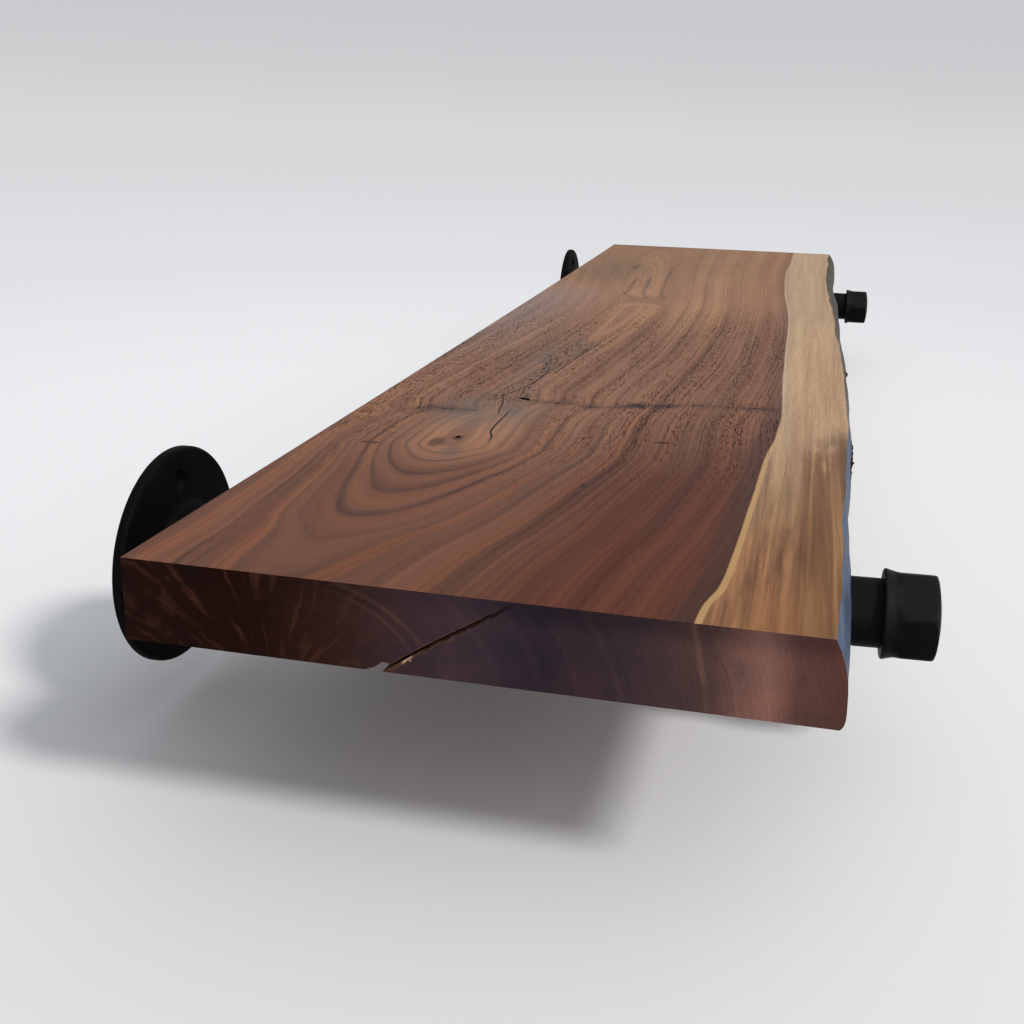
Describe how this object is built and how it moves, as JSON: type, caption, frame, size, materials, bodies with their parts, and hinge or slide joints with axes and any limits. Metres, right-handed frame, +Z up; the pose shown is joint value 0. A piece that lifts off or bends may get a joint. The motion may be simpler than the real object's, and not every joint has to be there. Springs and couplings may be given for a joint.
{
  "type": "live edge wall shelf",
  "caption": "Live-edge walnut board resting on black pipe brackets, each a round wall flange, a straight pipe and a hexagonal end cap.",
  "frame": {"origin": "on the wall plane, midway between the two flanges, at the height of the pipes' axes", "axes": "+X along the wall to the right as seen from the room, +Y into the wall (the room is towards -Y), +Z up; the wall is the plane Y = 0"},
  "size_m": [1.0175, 0.3161, 0.0888],
  "materials": {
    "walnut": "oiled walnut, planed flat on top, with a strip of pale sapwood along the live edge",
    "flange_iron": "matte black coating on a cast surface",
    "pipe_steel": "satin black coating",
    "cap_iron": "satin black coating on a cast surface"
  },
  "bodies": {
    "root": {"live_edge_board": "walnut", "left_wall_flange": "flange_iron", "right_wall_flange": "flange_iron", "left_pipe": "pipe_steel", "right_pipe": "pipe_steel", "left_end_cap": "cap_iron", "right_end_cap": "cap_iron"}
  },
  "joints": []
}
